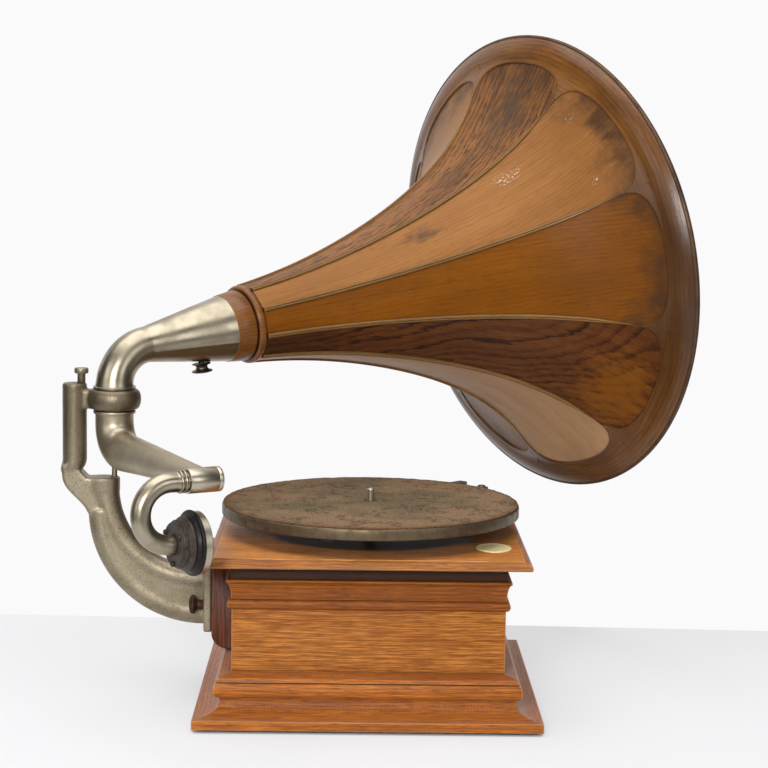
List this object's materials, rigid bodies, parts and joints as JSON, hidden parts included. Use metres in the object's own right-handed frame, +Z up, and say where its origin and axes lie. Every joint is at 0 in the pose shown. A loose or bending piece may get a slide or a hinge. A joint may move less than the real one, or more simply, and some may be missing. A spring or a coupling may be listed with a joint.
{
  "type": "gramophone",
  "caption": "Table gramophone: panelled wooden flower horn on a cast swinging bracket, tonearm with gooseneck soundbox, felted turntable and spring motor in a square oak case.",
  "frame": {"origin": "on the ground under the middle of the square case", "axes": "+Z up, +X the machine's front, away from the horn bracket, and +Y its left side, where the crank is"},
  "size_m": [0.6659, 0.7588, 0.689],
  "materials": {
    "case_oak": "satin varnish",
    "block_mahogany": "satin varnish",
    "horn_oak_light": "satin varnish",
    "horn_oak_dark": "satin varnish",
    "horn_rim_wood": "satin varnish",
    "cast_nickel": "aged nickel plate",
    "nickel_tube": "nickel plate",
    "dark_steel": "blued and rusted",
    "nickel_steel": "worn nickel plate",
    "isolator_rubber": "hardened rubber",
    "back_enamel": "gloss black enamel",
    "mica": "clear sheet",
    "table_felt": "worn felt",
    "badge_metal": "lacquered",
    "gear_brass": "machined",
    "motor_iron": "japanned",
    "spring_steel": "oiled",
    "grip_wood": "turned and polished"
  },
  "bodies": {
    "case": {"bottom_board": "case_oak", "plinth_moulding": "case_oak", "wall_left": "case_oak", "wall_right": "case_oak", "wall_front": "case_oak", "wall_back": "case_oak", "waist_moulding": "case_oak", "cornice_moulding": "case_oak", "deck_board": "case_oak", "badge_plate": "badge_metal", "bracket_block": "block_mahogany", "horn_bracket": "cast_nickel", "bracket_bolts": "dark_steel", "tonearm_pivot_pin": "nickel_steel", "motor_bedplate": "motor_iron", "motor_lower_plate": "motor_iron", "motor_pillars": "nickel_steel", "crank_escutcheon": "gear_brass", "brake_bracket": "nickel_steel"},
    "bracket_screw": {"bracket_thumb_screw": "nickel_steel"},
    "horn": {"horn_elbow": "nickel_tube", "horn_collar": "horn_oak_light", "horn_panel_1": "horn_oak_dark", "horn_panel_2": "horn_oak_light", "horn_panel_3": "horn_oak_dark", "horn_panel_4": "horn_oak_light", "horn_panel_5": "horn_oak_dark", "horn_panel_6": "horn_oak_light", "horn_panel_7": "horn_oak_light", "horn_panel_8": "horn_oak_dark", "horn_panel_9": "horn_oak_light", "horn_ribs": "horn_oak_light", "horn_rim": "horn_rim_wood", "horn_edge_bead": "dark_steel"},
    "horn_screw": {"horn_thumb_screw": "dark_steel"},
    "tonearm": {"tonearm_tube": "nickel_tube", "tonearm_cross_tube": "nickel_tube"},
    "gooseneck": {"gooseneck_tube": "nickel_tube", "soundbox_isolator": "isolator_rubber", "soundbox_back_plate": "back_enamel", "soundbox_rim": "nickel_tube", "soundbox_screws": "dark_steel", "soundbox_gaskets": "isolator_rubber", "soundbox_diaphragm": "mica"},
    "stylus": {"stylus_bar": "nickel_steel", "needle": "spring_steel"},
    "stylus_screw": {"needle_screw": "nickel_steel"},
    "turntable": {"turntable_platter": "nickel_steel", "turntable_felt": "table_felt", "turntable_spindle": "nickel_steel", "spindle_gears": "gear_brass"},
    "intermediate": {"intermediate_gears": "gear_brass"},
    "barrel": {"spring_barrel": "nickel_steel", "mainspring": "spring_steel"},
    "winding": {"winding_arbor": "gear_brass"},
    "crank": {"crank_shaft": "nickel_steel"},
    "grip": {"crank_grip": "grip_wood"},
    "governor": {"governor_shaft": "spring_steel", "governor_weights": "gear_brass"},
    "brake": {"brake_lever": "nickel_steel"}
  },
  "joints": [
    {"name": "bracket_screw_turn", "type": "hinge", "parent": "case", "child": "bracket_screw", "pos_m": [-0.2952, 0, 0.3167], "axis": [0, 0, 1], "continuous": true},
    {"name": "horn_swing", "type": "hinge", "parent": "case", "child": "horn", "pos_m": [-0.2616, 0, 0.311], "axis": [0, 0, 1], "range_deg": [-120, 55]},
    {"name": "horn_screw_turn", "type": "hinge", "parent": "horn", "child": "horn_screw", "pos_m": [-0.17729, 0.05665, 0.33095], "axis": [0.1145, 0.0769, -0.9904], "continuous": true},
    {"name": "tonearm_swing", "type": "hinge", "parent": "case", "child": "tonearm", "pos_m": [-0.2616, 0, 0.2489], "axis": [0, 0, 1], "range_deg": [-50, 2]},
    {"name": "gooseneck_lift", "type": "hinge", "parent": "tonearm", "child": "gooseneck", "pos_m": [-0.1546, -0.18533, 0.2489], "axis": [-0.866, -0.5, 0], "range_deg": [0, 120]},
    {"name": "stylus_pivot", "type": "hinge", "parent": "gooseneck", "child": "stylus", "pos_m": [-0.16709, -0.17009, 0.17056], "axis": [0.3536, -0.6124, -0.7071], "range_deg": [-1.5, 1.5], "stiffness_Nm_per_rad": 0.02},
    {"name": "needle_screw_turn", "type": "hinge", "parent": "stylus", "child": "stylus_screw", "pos_m": [-0.16992, -0.16519, 0.1649], "axis": [-0.3536, 0.6124, 0.7071], "continuous": true},
    {"name": "turntable_spin", "type": "hinge", "parent": "case", "child": "turntable", "pos_m": [0.0015, 0, 0.1989], "axis": [0, 0, 1], "continuous": true},
    {"name": "intermediate_turn", "type": "hinge", "parent": "case", "child": "intermediate", "pos_m": [0.03597, -0.02892, 0.076], "axis": [0, 0, 1], "continuous": true},
    {"name": "barrel_turn", "type": "hinge", "parent": "case", "child": "barrel", "pos_m": [0.06297, 0.01784, 0.109], "axis": [0, 0, 1], "continuous": true},
    {"name": "governor_turn", "type": "hinge", "parent": "case", "child": "governor", "pos_m": [-0.01928, 0, 0.115], "axis": [0, 1, 0], "continuous": true},
    {"name": "crank_turn", "type": "hinge", "parent": "case", "child": "crank", "pos_m": [0.06297, 0.1742, 0.0855], "axis": [0, 1, 0], "continuous": true},
    {"name": "winding_turn", "type": "hinge", "parent": "case", "child": "winding", "pos_m": [0.06297, 0.01784, 0.0975], "axis": [0, 0, 1], "continuous": true},
    {"name": "crank_grip_spin", "type": "hinge", "parent": "crank", "child": "grip", "pos_m": [0.06297, 0.1822, 0.0155], "axis": [0, 1, 0], "continuous": true},
    {"name": "brake_swing", "type": "hinge", "parent": "case", "child": "brake", "pos_m": [0.12312, 0.12162, 0.1855], "axis": [0, 0, -1], "range_deg": [0, 20]}
  ],
  "couplings": [
    {"joint": "intermediate_turn", "follows": "turntable_spin", "ratio": -0.25},
    {"joint": "barrel_turn", "follows": "turntable_spin", "ratio": 0.05},
    {"joint": "governor_turn", "follows": "turntable_spin", "ratio": 10},
    {"joint": "winding_turn", "follows": "crank_turn", "ratio": -0.33333}
  ]
}
